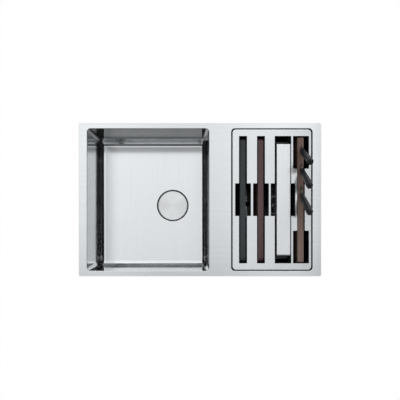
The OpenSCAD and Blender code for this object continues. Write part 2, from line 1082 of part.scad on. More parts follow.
deck();
main_bowl();
accessory_box();
rim_seal();
damping_pads();
clip_brackets();
clip_claws();
clip_screws();
waste_flange();
waste_upper_gasket();
waste_lower_gasket();
waste_body();
waste_bolt();
basket_strainer();
basket_seal();
basket_knob();
waste_cover_disc();
box_drain_tube();
box_drain_seal();
box_drain_nut();
box_drain_elbow();
drain_hose();
hose_clamps();
slotted_cover();
rack_base();
rack_side_frames();
rack_end_frames();
rack_guides();
rack_feet();
charcoal_board();
red_brown_board();
colander_tray();
colander_grips();
knife_block();
rear_knife_blade();
rear_knife_handle();
middle_knife_blade();
middle_knife_handle();
front_knife_blade();
front_knife_handle();
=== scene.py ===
"""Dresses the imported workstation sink: brushed steel, boards, colander, knives, seals and the studio."""

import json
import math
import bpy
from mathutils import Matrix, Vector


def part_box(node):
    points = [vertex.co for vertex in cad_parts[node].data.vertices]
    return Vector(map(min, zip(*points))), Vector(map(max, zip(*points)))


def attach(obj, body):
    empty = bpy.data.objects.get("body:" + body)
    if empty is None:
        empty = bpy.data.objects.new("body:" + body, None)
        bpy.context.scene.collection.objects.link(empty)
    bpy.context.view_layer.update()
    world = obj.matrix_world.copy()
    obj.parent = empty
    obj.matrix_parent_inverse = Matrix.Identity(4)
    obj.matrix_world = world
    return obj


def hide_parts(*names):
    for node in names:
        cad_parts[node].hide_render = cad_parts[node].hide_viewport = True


bl_info = {
    "name": "Workstation Sink",
    "version": (1, 0, 0),
    "blender": (4, 5, 0),
    "location": "3D View > Sidebar > Sink",
    "description": "Finishes the pieces of a steel kitchen sink with its lift-out rack of tools",
    "category": "Object",
}

import bmesh
import bpy
from bpy.props import FloatProperty, FloatVectorProperty, IntProperty, PointerProperty
from mathutils import Matrix, Vector

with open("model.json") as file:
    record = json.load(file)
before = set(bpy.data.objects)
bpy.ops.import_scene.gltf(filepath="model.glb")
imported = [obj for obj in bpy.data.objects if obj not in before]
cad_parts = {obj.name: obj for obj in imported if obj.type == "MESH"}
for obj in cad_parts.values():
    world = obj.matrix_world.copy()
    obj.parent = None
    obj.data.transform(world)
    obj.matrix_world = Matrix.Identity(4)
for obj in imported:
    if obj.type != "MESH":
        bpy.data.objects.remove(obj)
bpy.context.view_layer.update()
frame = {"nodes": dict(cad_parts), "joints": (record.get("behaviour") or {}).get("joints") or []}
NODES = frame["nodes"]
ALONG_X = (1.0, 0.0, 0.0)
ALONG_Y = (0.0, 1.0, 0.0)
MERGE = 1e-5


# ---------------------------------------------------------------- node graphs


class Graph:
    """A material's or a world's nodes, added one by one with their inputs."""

    def __init__(self, owner):
        owner.use_nodes = True
        self.tree = owner.node_tree
        self.tree.nodes.clear()

    def add(self, kind, inputs=None, **settings):
        """Adds a node. A socket given as an input is linked, and anything else becomes its value."""
        node = self.tree.nodes.new(kind)
        for key, value in settings.items():
            setattr(node, key, value)
        for key, value in (inputs or {}).items():
            if isinstance(value, bpy.types.NodeSocket):
                self.tree.links.new(value, node.inputs[key])
            else:
                node.inputs[key].default_value = value
        return node

    def math(self, operation, a, b=0.0, c=0.0, clamp=False):
        return self.add("ShaderNodeMath", {0: a, 1: b, 2: c}, operation=operation, use_clamp=clamp).outputs[0]

    def vector(self, operation, a, b=(0.0, 0.0, 0.0)):
        return self.add("ShaderNodeVectorMath", {0: a, 1: b}, operation=operation).outputs[0]

    def xyz(self, value):
        parts = self.add("ShaderNodeSeparateXYZ", {0: value})
        return parts.outputs[0], parts.outputs[1], parts.outputs[2]

    def join(self, x, y, z):
        return self.add("ShaderNodeCombineXYZ", {0: x, 1: y, 2: z}).outputs[0]

    def scaled(self, x, y, z, along_x, along_y, along_z):
        """A place whose pattern is packed by its own factor along each axis."""
        return self.join(
            self.math("MULTIPLY", x, along_x),
            self.math("MULTIPLY", y, along_y),
            self.math("MULTIPLY", z, along_z),
        )

    def range(self, value, low, high, to_low, to_high, smooth=False):
        kind = "SMOOTHSTEP" if smooth else "LINEAR"
        return self.add(
            "ShaderNodeMapRange",
            {0: value, 1: low, 2: high, 3: to_low, 4: to_high},
            interpolation_type=kind,
            clamp=True,
        ).outputs[0]

    def mix(self, share, a, b):
        """Mixes two colours."""
        return self.add("ShaderNodeMix", {0: share, 6: a, 7: b}, data_type="RGBA").outputs[2]

    def blend(self, share, a, b):
        """Mixes two numbers."""
        return self.add("ShaderNodeMix", {0: share, 2: a, 3: b}, data_type="FLOAT").outputs[0]

    def noise(self, place, scale, detail=3.0, rough=0.55, distortion=0.0):
        return self.add(
            "ShaderNodeTexNoise",
            {"Vector": place, "Scale": scale, "Detail": detail, "Roughness": rough, "Distortion": distortion},
        ).outputs["Fac"]

    def bump(self, height, strength, distance=0.001, normal=None):
        inputs = {"Height": height, "Strength": strength, "Distance": distance}
        if normal is not None:
            inputs["Normal"] = normal
        return self.add("ShaderNodeBump", inputs).outputs[0]


def rgb(colour, shade=1.0):
    return (colour[0] * shade, colour[1] * shade, colour[2] * shade, 1.0)


def surface(graph, inputs):
    """The shader and the output of a material."""
    shader = graph.add("ShaderNodeBsdfPrincipled", inputs)
    graph.add("ShaderNodeOutputMaterial", {"Surface": shader.outputs[0]})


def object_place(graph):
    return graph.add("ShaderNodeTexCoord").outputs["Object"]


# ---------------------------------------------------------------- steel


def brushed_steel(name, colour, roughness, anisotropy=0.75, deck_run=ALONG_X, streaks=1.0, basin=0.0):
    """Satin steel. Level faces are brushed along deck_run, and walls along their length.

    In a basin the walls and the rounds at the floor are smoother than the floor, and the side walls and the
    rounds beside them carry painted shade, their colour darkened toward black."""
    painted_side_shade, wall_polish, round_polish = 0.22 * basin, -0.4 * basin, -0.35 * basin
    steel = bpy.data.materials.new(name)
    g = Graph(steel)
    coords = g.add("ShaderNodeTexCoord")
    place, normal = coords.outputs["Object"], coords.outputs["Normal"]
    nx, ny, nz = g.xyz(normal)
    x, y, z = g.xyz(place)
    level = g.range(g.math("ABSOLUTE", nz), 0.90, 0.995, 0.0, 1.0, smooth=True)
    wall_run = g.vector("CROSS_PRODUCT", (0.0, 0.0, 1.0), normal)
    run = g.add("ShaderNodeMix", {0: level, 4: wall_run, 5: deck_run}, data_type="VECTOR").outputs[1]
    tangent = g.vector("NORMALIZE", g.vector("CROSS_PRODUCT", run, normal))
    faces_side = g.math("MULTIPLY", nx, nx)
    along_wall = g.blend(faces_side, x, y)
    if deck_run[0] > 0.5:
        along, across = g.blend(level, along_wall, x), g.blend(level, z, y)
    else:
        along, across = g.blend(level, along_wall, y), g.blend(level, z, x)
    hairlines = g.join(g.math("MULTIPLY", along, 14.0), g.math("MULTIPLY", across, 900.0), 0.0)
    passes = g.join(g.math("MULTIPLY", along, 2.2), g.math("MULTIPLY", across, 110.0), 3.0)
    fine = g.noise(hairlines, 1.0, 4.0, 0.7)
    broad = g.noise(passes, 1.0, 3.0, 0.6)
    cloud = g.noise(place, 5.0, 3.0, 0.5)
    tone = g.math(
        "ADD",
        g.range(fine, 0.25, 0.75, -0.035 * streaks, 0.035 * streaks),
        g.range(broad, 0.3, 0.7, -0.022 * streaks, 0.022 * streaks),
    )
    tone = g.math("ADD", tone, g.range(cloud, 0.3, 0.7, -0.02, 0.02))
    tint = g.mix(g.math("ADD", tone, 0.5, clamp=True), rgb(colour, 0.55), rgb(colour, 1.45))
    # Painted shade: the colour of walls and rounds that face the sides is darkened toward black.
    if basin > 0.0:
        side = g.math("MULTIPLY", g.math("SUBTRACT", 1.0, level), faces_side)
        tint = g.mix(g.math("MULTIPLY", side, painted_side_shade), tint, rgb(colour, 0.0))
    rough = g.math(
        "ADD",
        g.range(fine, 0.2, 0.8, roughness * 0.85, roughness * 1.15),
        g.range(cloud, 0.3, 0.7, -0.02, 0.03),
    )
    if basin > 0.0:
        upright = g.range(g.math("ABSOLUTE", nz), 0.0, 0.15, 1.0, 0.0, smooth=True)
        rounds = g.math("SUBTRACT", 1.0, g.math("ADD", upright, level), clamp=True)
        on_walls = g.math("MULTIPLY", upright, wall_polish)
        on_rounds = g.math("MULTIPLY", rounds, round_polish)
        change = g.math("ADD", on_walls, on_rounds)
        rough = g.math("MULTIPLY", rough, g.math("ADD", 1.0, change))
    bump = g.bump(fine, 0.06 * streaks, 0.0002)
    surface(
        g,
        {
            "Base Color": tint,
            "Metallic": 1.0,
            "Roughness": rough,
            "Anisotropic": anisotropy,
            "Tangent": tangent,
            "Normal": bump,
        },
    )
    return steel


def spun_steel(name, colour, roughness, centre):
    """Steel turned about an upright axis, with its fine rings round that axis."""
    steel = bpy.data.materials.new(name)
    g = Graph(steel)
    coords = g.add("ShaderNodeTexCoord")
    place, normal = coords.outputs["Object"], coords.outputs["Normal"]
    out = g.vector("MULTIPLY", g.vector("SUBTRACT", place, (centre[0], centre[1], 0.0)), (1.0, 1.0, 0.0))
    radius = g.add("ShaderNodeVectorMath", {0: out}, operation="LENGTH").outputs["Value"]
    x, y, _ = g.xyz(out)
    ring_run = g.join(g.math("MULTIPLY", y, -1.0), x, 0.0)
    tangent = g.vector("NORMALIZE", g.vector("CROSS_PRODUCT", ring_run, normal))
    rings = g.noise(g.join(g.math("MULTIPLY", radius, 900.0), 0.0, 0.0), 1.0, 3.0, 0.6)
    tone = g.range(rings, 0.3, 0.7, -0.05, 0.05)
    surface(
        g,
        {
            "Base Color": g.mix(g.math("ADD", tone, 0.5, clamp=True), rgb(colour, 0.55), rgb(colour, 1.45)),
            "Metallic": 1.0,
            "Roughness": g.range(rings, 0.2, 0.8, roughness * 0.8, roughness * 1.2),
            "Anisotropic": 0.85,
            "Tangent": tangent,
            "Normal": g.bump(rings, 0.05, 0.0002),
        },
    )
    return steel


# ---------------------------------------------------------------- plastics, rubber and boards


def moulded_plastic(name, colour, roughness, specular=0.35, pebble=0.12):
    """Moulded plastic with a fine pebbled skin and faint flow marks."""
    plastic = bpy.data.materials.new(name)
    g = Graph(plastic)
    place = object_place(g)
    skin = g.noise(place, 900.0, 2.0, 0.6)
    flow = g.noise(place, 14.0, 3.0, 0.5)
    tint = g.mix(g.range(flow, 0.3, 0.7, 0.0, 1.0), rgb(colour, 0.85), rgb(colour, 1.2))
    rough = g.math(
        "ADD",
        g.range(skin, 0.3, 0.7, roughness * 0.9, roughness * 1.1),
        g.range(flow, 0.3, 0.7, -0.03, 0.03),
    )
    surface(
        g,
        {
            "Base Color": tint,
            "Roughness": rough,
            "Specular IOR Level": specular,
            "Normal": g.bump(skin, pebble, 0.0003),
        },
    )
    return plastic


def pressed_fibre(name, colour):
    """Charcoal board of pressed paper fibre: dense, with pale flecks and faint layers."""
    fibre = bpy.data.materials.new(name)
    g = Graph(fibre)
    place = object_place(g)
    x, y, z = g.xyz(place)
    fleck = g.noise(g.scaled(x, y, z, 900.0, 260.0, 900.0), 1.0, 3.0, 0.7)
    layer = g.noise(g.scaled(x, y, z, 700.0, 8.0, 8.0), 1.0, 2.0, 0.5)
    cloud = g.noise(place, 18.0, 3.0, 0.5)
    base = g.mix(g.range(cloud, 0.3, 0.7, 0.0, 1.0), rgb(colour, 0.82), rgb(colour, 1.18))
    base = g.mix(g.range(layer, 0.45, 0.75, 0.0, 0.45), base, rgb(colour, 0.6))
    base = g.mix(g.range(fleck, 0.62, 0.80, 0.0, 0.5), base, rgb(colour, 2.2))
    surface(
        g,
        {
            "Base Color": base,
            "Roughness": g.range(fleck, 0.3, 0.7, 0.42, 0.58),
            "Specular IOR Level": 0.35,
            "Normal": g.bump(fleck, 0.15, 0.0003),
        },
    )
    return fibre


def oiled_wood(name, colour, dark, pale):
    """Oiled wood with its grain along Y: growth bands, pores and a slow drift of tone."""
    wood = bpy.data.materials.new(name)
    g = Graph(wood)
    x, y, z = g.xyz(object_place(g))
    drift = g.noise(g.scaled(x, y, z, 9.0, 2.2, 9.0), 1.0, 3.0, 0.5)
    bent = g.math("ADD", x, g.range(drift, 0.0, 1.0, -0.02, 0.02))
    bands = g.noise(g.scaled(bent, y, z, 220.0, 3.0, 55.0), 1.0, 5.0, 0.65)
    pores = g.noise(g.scaled(x, y, z, 1400.0, 60.0, 1400.0), 1.0, 2.0, 0.6)
    base = g.mix(g.range(bands, 0.32, 0.68, 0.0, 1.0), rgb(dark), rgb(colour))
    base = g.mix(g.range(drift, 0.4, 0.75, 0.0, 0.8), base, rgb(pale))
    base = g.mix(g.range(pores, 0.60, 0.78, 0.0, 0.65), base, rgb(dark, 0.6))
    surface(
        g,
        {
            "Base Color": base,
            "Roughness": g.range(bands, 0.3, 0.7, 0.5, 0.38),
            "Specular IOR Level": 0.4,
            "Normal": g.bump(g.math("ADD", bands, g.range(pores, 0.55, 0.8, 0.0, -0.6)), 0.18, 0.0004),
        },
    )
    return wood


def soft_rubber(name, colour, roughness=0.75):
    """Foam or rubber: dead matt, with fine cells and a dusty bloom."""
    rubber = bpy.data.materials.new(name)
    g = Graph(rubber)
    place = object_place(g)
    cells = g.add("ShaderNodeTexVoronoi", {"Vector": place, "Scale": 900.0}).outputs["Distance"]
    bloom = g.noise(place, 22.0, 4.0, 0.6)
    surface(
        g,
        {
            "Base Color": g.mix(g.range(bloom, 0.35, 0.75, 0.0, 1.0), rgb(colour, 0.8), rgb(colour, 1.7)),
            "Roughness": g.range(cells, 0.0, 1.0, roughness, roughness + 0.12),
            "Specular IOR Level": 0.25,
            "Normal": g.bump(cells, 0.2, 0.0003),
        },
    )
    return rubber


def bitumen_sheet(name, colour):
    """Sound-deadening sheet: dull, with a pressed grid of small lozenges, and painted shade in the grooves
    between them.
    """
    sheet = bpy.data.materials.new(name)
    g = Graph(sheet)
    place = object_place(g)
    cells = g.add(
        "ShaderNodeTexVoronoi", {"Vector": place, "Scale": 110.0, "Randomness": 0.0}, distance="CHEBYCHEV"
    ).outputs["Distance"]
    grain = g.noise(place, 420.0, 3.0, 0.6)
    bloom = g.noise(place, 16.0, 4.0, 0.6)
    raised = g.range(cells, 0.30, 0.42, 1.0, 0.0, smooth=True)
    tint = g.mix(g.range(bloom, 0.3, 0.7, 0.0, 1.0), rgb(colour, 0.8), rgb(colour, 1.5))
    surface(
        g,
        {
            # Painted shade: the grooves between the raised lozenges get a darker colour than the lozenges.
            "Base Color": g.mix(raised, rgb(colour, 0.7), tint),
            "Roughness": g.range(grain, 0.3, 0.7, 0.72, 0.9),
            "Specular IOR Level": 0.25,
            "Normal": g.bump(g.math("ADD", raised, g.math("MULTIPLY", grain, 0.2)), 0.5, 0.0008),
        },
    )
    return sheet


def finish(material, *names):
    """Gives CAD nodes a material in all of their slots."""
    for name in names:
        slots = NODES[name].data.materials
        if not slots:
            slots.append(material)
        for i in range(len(slots)):
            slots[i] = material


# ---------------------------------------------------------------- shapes


def ease_edges(shape, width, segments=2, sharper_than=0.5):
    """Rounds the edges whose faces meet at more than the given angle."""
    sharp = [edge for edge in shape.edges if edge.is_manifold and edge.calc_face_angle() > sharper_than]
    bmesh.ops.bevel(
        shape,
        geom=sharp,
        offset=width,
        offset_type="OFFSET",
        segments=segments,
        profile=0.5,
        affect="EDGES",
        clamp_overlap=True,
        material=-1,
    )


def put(target, shape, place=None):
    """Moves a finished shape into another one, at a place."""
    if place is not None:
        bmesh.ops.transform(shape, matrix=place, verts=shape.verts)
    mesh = bpy.data.meshes.new("part")
    shape.to_mesh(mesh)
    shape.free()
    target.from_mesh(mesh)
    bpy.data.meshes.remove(mesh)


def block(low, high):
    """A block between two corners."""
    shape = bmesh.new()
    bmesh.ops.create_cube(shape, size=1.0)
    size = high - low
    place = Matrix.Translation((low + high) / 2) @ Matrix.Diagonal((size.x, size.y, size.z, 1.0))
    bmesh.ops.transform(shape, matrix=place, verts=shape.verts)
    return shape


def turned(outline, steps=48):
    """Spins an outline of (radius, height) about Z. An outline that starts on the axis ends there too."""
    shape = bmesh.new()
    verts = [shape.verts.new((radius, 0.0, height)) for radius, height in outline]
    edges = [shape.edges.new(pair) for pair in zip(verts, verts[1:])]
    if outline[0][0] > 0.0:
        edges.append(shape.edges.new((verts[-1], verts[0])))
    bmesh.ops.spin(
        shape,
        geom=verts + edges,
        cent=(0.0, 0.0, 0.0),
        axis=(0.0, 0.0, 1.0),
        angle=math.tau,
        steps=steps,
        use_merge=True,
    )
    bmesh.ops.remove_doubles(shape, verts=shape.verts, dist=1e-6)
    return shape


def round_frame(width, depth, corner, band, thick):
    """A flat frame with round corners, lying in XY on z = 0, whose sides are a band wide."""
    shape = bmesh.new()
    bmesh.ops.create_grid(shape, x_segments=1, y_segments=1, size=0.5)
    bmesh.ops.scale(shape, vec=(width, depth, 1.0), verts=shape.verts)
    bmesh.ops.bevel(
        shape, geom=shape.verts, offset=corner, segments=6, profile=0.5, affect="VERTICES", material=-1
    )
    inner = shape.faces[:]
    bmesh.ops.inset_region(shape, faces=inner, thickness=band, use_even_offset=True, use_boundary=True)
    bmesh.ops.delete(shape, geom=inner, context="FACES")
    raised = bmesh.ops.extrude_face_region(shape, geom=shape.faces[:])["geom"]
    top = [item for item in raised if isinstance(item, bmesh.types.BMVert)]
    bmesh.ops.translate(shape, verts=top, vec=(0.0, 0.0, thick))
    return shape


def stand_on(shape, low, high):
    """Moves a shape made about Z from z = 0 to the middle of a box's foot."""
    bmesh.ops.translate(shape, vec=((low.x + high.x) / 2, (low.y + high.y) / 2, low.z), verts=shape.verts)


def solids(node):
    """The corners of each separate solid of a CAD node, from a merged copy of its mesh."""
    shape = bmesh.new()
    shape.from_mesh(NODES[node].data)
    bmesh.ops.remove_doubles(shape, verts=shape.verts, dist=MERGE)
    shape.verts.ensure_lookup_table()
    seen = set()
    boxes = []
    for first in shape.verts:
        if first.index in seen:
            continue
        seen.add(first.index)
        group = [first]
        for vert in group:
            for edge in vert.link_edges:
                other = edge.other_vert(vert)
                if other.index not in seen:
                    seen.add(other.index)
                    group.append(other)
        low = Vector([min(vert.co[axis] for vert in group) for axis in range(3)])
        high = Vector([max(vert.co[axis] for vert in group) for axis in range(3)])
        boxes.append((low, high))
    shape.free()
    return boxes


def piece(name, shape, material, body, slot, *nodes, smooth_below=0.6):
    """Makes a shape into a piece that rides on a body and stands for its CAD nodes."""
    if not shape.faces:
        raise RuntimeError(f"{name} has no faces")
    bmesh.ops.recalc_face_normals(shape, faces=shape.faces)
    for face in shape.faces:
        face.smooth = True
    mesh = bpy.data.meshes.new(name)
    shape.to_mesh(mesh)
    shape.free()
    mesh.set_sharp_from_angle(angle=smooth_below)
    mesh.materials.append(material)
    made = bpy.data.objects.new(name, mesh)
    bpy.context.scene.collection.objects.link(made)
    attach(made, body)
    if nodes:
        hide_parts(*nodes)
    return made


def lean_of(joint):
    """The turn from upright to a joint's own axis."""
    for found in frame["joints"]:
        if found["name"] == joint:
            return Vector((0.0, 0.0, 1.0)).rotation_difference(Vector(found["axis"])).to_matrix().to_4x4()
    raise RuntimeError(f"the frame has no joint named {joint}")


# ---------------------------------------------------------------- knives and colander


def handle_shape(length, width, height, neck_width):
    """Lofts a handle of eight facets along Z, from its neck to a round butt."""
    facet = 0.26 * width
    shape = bmesh.new()
    bmesh.ops.create_grid(shape, x_segments=1, y_segments=1, size=0.5)
    bmesh.ops.scale(shape, vec=(width, height, 1.0), verts=shape.verts)
    bmesh.ops.bevel(
        shape, geom=shape.verts, offset=facet, segments=1, profile=0.5, affect="VERTICES", material=-1
    )
    neck = neck_width / width
    butt, last_turn, fullness = 0.92, 1.3, 0.75
    stations = [(0.0, neck, 0.89), (0.3, 0.82, 0.92), (0.6, 0.96, 0.98), (0.78, 1.0, 1.0), (butt, 1.0, 1.0)]
    for turn in (0.35, 0.7, 1.0, last_turn):
        reach = butt + (1.0 - butt) * math.sin(turn) / math.sin(last_turn)
        stations.append((reach, math.cos(turn) ** fullness, math.cos(turn) ** fullness))
    section = shape.faces[:][0]
    spread = (1.0, 1.0)
    at = 0.0
    for i, (share, wide, high) in enumerate(stations):
        if i > 0:
            made = bmesh.ops.extrude_face_region(shape, geom=[section])["geom"]
            section = [item for item in made if isinstance(item, bmesh.types.BMFace)][0]
        bmesh.ops.scale(shape, vec=(wide / spread[0], high / spread[1], 1.0), verts=section.verts)
        bmesh.ops.translate(shape, vec=(0.0, 0.0, share * length - at), verts=section.verts)
        spread = (wide, high)
        at = share * length
    return shape


def grip_shape(low, high, outward, scoop_radius, scoop_depth):
    """A moulded grip, scooped on its outer face for the fingers and soft along its edges."""
    shape = block(low, high)
    cuts = 24
    uprights = [
        edge for edge in shape.edges if abs((edge.verts[0].co - edge.verts[1].co).z) > 0.5 * (high - low).z
    ]
    bmesh.ops.subdivide_edges(shape, edges=uprights, cuts=cuts, use_grid_fill=True)
    face_at = high.y if outward > 0 else low.y
    middle = (low.z + high.z) / 2
    for vert in shape.verts:
        if abs(vert.co.y - face_at) < 1e-5:
            drop = abs(vert.co.z - middle)
            if drop < scoop_radius:
                sink = math.sqrt(scoop_radius ** 2 - drop ** 2) - (scoop_radius - scoop_depth)
                vert.co.y -= outward * max(0.0, sink)
    ease_edges(shape, 0.0016, segments=3, sharper_than=0.9)
    return shape


# ---------------------------------------------------------------- seals, pads, hose and fixings


def seal_ring(outer, inner, thick, groove=0.0):
    """A rubber washer with eased edges and a shallow groove round the middle of its upper face."""
    edge = min(0.3 * thick, 0.0006)
    middle = (outer + inner) / 2
    return turned([
        (inner, edge),
        (inner + edge, 0.0),
        (outer - edge, 0.0),
        (outer, edge),
        (outer, thick - edge),
        (outer - edge, thick),
        (middle + 0.001, thick - groove),
        (middle - 0.001, thick - groove),
        (inner + edge, thick),
        (inner, thick - edge),
    ], steps=64)


def pad_shape(low, high, outward):
    """A sound pad: a sheet with round corners, pressed thinner along its edge, its face turned outward."""
    shape = block(low, high)
    size = high - low
    thin = min(range(3), key=lambda axis: size[axis])
    corners = [
        edge for edge in shape.edges if abs((edge.verts[0].co - edge.verts[1].co)[thin]) > 0.5 * size[thin]
    ]
    bmesh.ops.bevel(
        shape, geom=corners, offset=0.012, segments=5, profile=0.5, affect="EDGES", material=-1
    )
    shape.normal_update()
    face = max(shape.faces, key=lambda found: found.normal.dot(outward) * found.calc_area())
    bmesh.ops.inset_region(shape, faces=[face], thickness=0.005, use_even_offset=True)
    rim = 0.45 * size[thin]
    border = [vert for vert in shape.verts if vert not in face.verts]
    facing = [vert for vert in border if (vert.co - (low + high) / 2).dot(outward) > 0.0]
    bmesh.ops.translate(shape, vec=-outward * rim, verts=facing)
    bmesh.ops.inset_region(shape, faces=[face], thickness=0.0015, depth=0.0, use_even_offset=True)
    return shape


def hose_shape(length, radius, wall, crest, rings, cuff):
    """A corrugated hose along X about the origin: even round waves between two plain cuffs."""
    wave = (length - 2 * cuff) / rings
    steps, fullness = 8, 0.7
    base = radius - crest
    outline = [(base, 0.0), (base, cuff)]
    for i in range(1, rings * steps):
        phase = i / steps
        swell = 0.5 - 0.5 * math.cos(math.tau * phase)
        outline.append((base + crest * swell ** fullness, cuff + phase * wave))
    outline += [(base, length - cuff), (base, length)]
    inside = [(at - wall, height) for at, height in reversed(outline)]
    shape = turned(outline + inside, steps=40)
    centred = Matrix.Rotation(math.pi / 2, 4, "Y") @ Matrix.Translation((0.0, 0.0, -length / 2))
    bmesh.ops.transform(shape, matrix=centred, verts=shape.verts)
    return shape


def screw_shape(head_radius, head_height, radius, length, pitch):
    """A hexagon screw along Z, its head at the bottom, with a real thread up its shank."""
    shape = bmesh.new()
    bmesh.ops.create_cone(
        shape, cap_ends=True, segments=6, radius1=head_radius, radius2=head_radius, depth=head_height
    )
    bmesh.ops.translate(shape, vec=(0.0, 0.0, head_height / 2), verts=shape.verts)
    ease_edges(shape, 0.0004, segments=2)
    core = bmesh.new()
    root = radius - 0.6 * pitch
    bmesh.ops.create_cone(core, cap_ends=True, segments=16, radius1=root, radius2=root, depth=length)
    put(shape, core, Matrix.Translation((0.0, 0.0, head_height + length / 2 - 0.0005)))
    plain = 0.002
    turns = int((length - 2 * plain) / pitch)
    thread = bmesh.new()
    start = head_height + plain
    corners = [(root - 0.0001, -0.45 * pitch), (radius, 0.0), (root - 0.0001, 0.45 * pitch)]
    verts = [thread.verts.new((at, 0.0, start + height)) for at, height in corners]
    edges = [thread.edges.new(pair) for pair in zip(verts, verts[1:] + verts[:1])]
    steps_per_turn = 12
    bmesh.ops.spin(
        thread,
        geom=verts + edges,
        cent=(0.0, 0.0, 0.0),
        axis=(0.0, 0.0, 1.0),
        dvec=(0.0, 0.0, pitch / steps_per_turn),
        angle=math.tau * turns,
        steps=steps_per_turn * turns,
    )
    put(shape, thread)
    return shape


def clamp_shape(radius, band, width):
    """A hose clamp along X: a ribbed band and its screw in a housing on top."""
    ribs, gap = 36, 30
    shape = turned([
        (radius, 0.0),
        (radius + band, 0.0003),
        (radius + band, width - 0.0003),
        (radius, width),
    ], steps=64)
    bmesh.ops.transform(shape, matrix=Matrix.Rotation(math.pi / 2, 4, "Y"), verts=shape.verts)
    for i in range(ribs):
        low = Vector((0.25 * width, -0.0003, radius + band - 0.0002))
        high = Vector((0.75 * width, 0.0003, radius + band + 0.0003))
        bearing = gap + i * (360 - 2 * gap) / (ribs - 1)
        put(shape, block(low, high), Matrix.Rotation(math.radians(bearing), 4, "X"))
    housing = block(Vector((0.0, -0.0038, radius)), Vector((width, 0.0038, radius + 0.0045)))
    ease_edges(housing, 0.0009, segments=3)
    put(shape, housing)
    worm = bmesh.new()
    bmesh.ops.create_cone(worm, cap_ends=True, segments=6, radius1=0.0024, radius2=0.0024, depth=0.0018)
    ease_edges(worm, 0.0003, segments=1)
    across = Matrix.Rotation(math.pi / 2, 4, "X")
    put(shape, worm, Matrix.Translation((width / 2, 0.0031, radius + 0.0022)) @ across)
    return shape


def nut_shape(radius, bore, height, lugs):
    """A plastic nut with finger lugs round it, standing on z = 0."""
    valley = 0.93
    shape = bmesh.new()
    bmesh.ops.create_circle(shape, segments=8 * lugs, radius=radius, cap_ends=True)
    for i, vert in enumerate(shape.verts):
        if i % 8 in (2, 3, 4, 5, 6):
            vert.co *= valley
    ring = shape.faces[:]
    wall = radius * valley - bore
    bmesh.ops.inset_region(shape, faces=ring, thickness=wall, use_even_offset=True, use_boundary=True)
    bmesh.ops.delete(shape, geom=ring, context="FACES")
    raised = bmesh.ops.extrude_face_region(shape, geom=shape.faces[:])["geom"]
    top = [item for item in raised if isinstance(item, bmesh.types.BMVert)]
    bmesh.ops.translate(shape, vec=(0.0, 0.0, height), verts=top)
    ease_edges(shape, 0.0005, segments=2, sharper_than=1.2)
    return shape


# ---------------------------------------------------------------- bowl


def widen_round(shape, low, high, sheet, was, now):
    """Widens the round between a pressed bowl's floor and its walls, on both skins of the sheet.

    low and high are the corners of the bowl's inside, with the floor at low.z. Each vertex of the round
    moves away from the corner where the planes of its own skin meet, so both skins keep their distance."""
    slack = 1e-4
    for vert in shape.verts:
        place = vert.co
        gaps = [
            min(place.x - low.x, high.x - place.x),
            min(place.y - low.y, high.y - place.y),
            place.z - low.z,
        ]
        out = Vector([max(0.0, was - gap) for gap in gaps]).length
        near = [gap < was + slack for gap in gaps]
        if not near[2] or not (near[0] or near[1]) or out < was - slack:
            continue
        skin = sheet if out > was + sheet / 2 else 0.0
        grow = (now + skin) / (was + skin) - 1.0
        place.z += (gaps[2] + skin) * grow
        if near[0]:
            place.x += (gaps[0] + skin) * grow * (1.0 if place.x < (low.x + high.x) / 2 else -1.0)
        if near[1]:
            place.y += (gaps[1] + skin) * grow * (1.0 if place.y < (low.y + high.y) / 2 else -1.0)


# ---------------------------------------------------------------- settings


class SinkFinish(bpy.types.PropertyGroup):
    """Colours and gloss of the steel and the plastics."""

    steel: FloatVectorProperty(
        name="Steel", description="Colour of the deck's steel",
        subtype="COLOR", default=(0.70, 0.713, 0.722),
    )
    bowl: FloatVectorProperty(
        name="Bowl steel", description="Colour of the bowl's steel",
        subtype="COLOR", default=(0.745, 0.757, 0.766),
    )
    disc: FloatVectorProperty(
        name="Disc steel", description="Colour of the turned steel of the waste",
        subtype="COLOR", default=(0.9, 0.91, 0.915),
    )
    gloss: FloatProperty(
        name="Steel roughness", description="Roughness of the satin steel",
        default=0.2, min=0.05, max=0.6,
    )
    black: FloatVectorProperty(
        name="Black plastic", description="Colour of the rack and the waste",
        subtype="COLOR", default=(0.032, 0.034, 0.036),
    )


class SinkBowl(bpy.types.PropertyGroup):
    """The pressed bowl."""

    edge: FloatProperty(
        name="Edge", description="From the bowl's outermost edge to its wall's inside",
        default=0.0015, unit="LENGTH",
    )
    sheet: FloatProperty(
        name="Sheet", description="Thickness of the pressed sheet",
        default=0.0012, unit="LENGTH",
    )
    floor: FloatProperty(
        name="Floor", description="Height of the bowl's floor",
        default=-0.197, unit="LENGTH",
    )
    fold: FloatProperty(
        name="Fold", description="Radius of the sheet's first fold at the floor",
        default=0.012, unit="LENGTH",
    )
    floor_round: FloatProperty(
        name="Round", description="Radius between the floor and the walls",
        default=0.020, unit="LENGTH",
    )


class SinkSoftParts(bpy.types.PropertyGroup):
    """Seals, pads and the hose."""

    seal_width: FloatProperty(
        name="Rim seal width", description="Width of the foam under the deck's edge",
        default=0.006, unit="LENGTH",
    )
    hose_fall: FloatProperty(
        name="Hose fall", description="Slope of the hose toward the waste",
        default=math.radians(3), subtype="ANGLE",
    )
    hose_rings: IntProperty(
        name="Hose rings", description="Corrugations along the hose",
        default=21, min=8, max=60,
    )
    hose_wall: FloatProperty(
        name="Hose wall", description="Thickness of the hose's wall",
        default=0.0012, unit="LENGTH",
    )
    hose_crest: FloatProperty(
        name="Hose crest", description="Height of a corrugation",
        default=0.0024, unit="LENGTH",
    )
    hose_cuff: FloatProperty(
        name="Hose cuff", description="Length of each plain cuff",
        default=0.022, unit="LENGTH",
    )


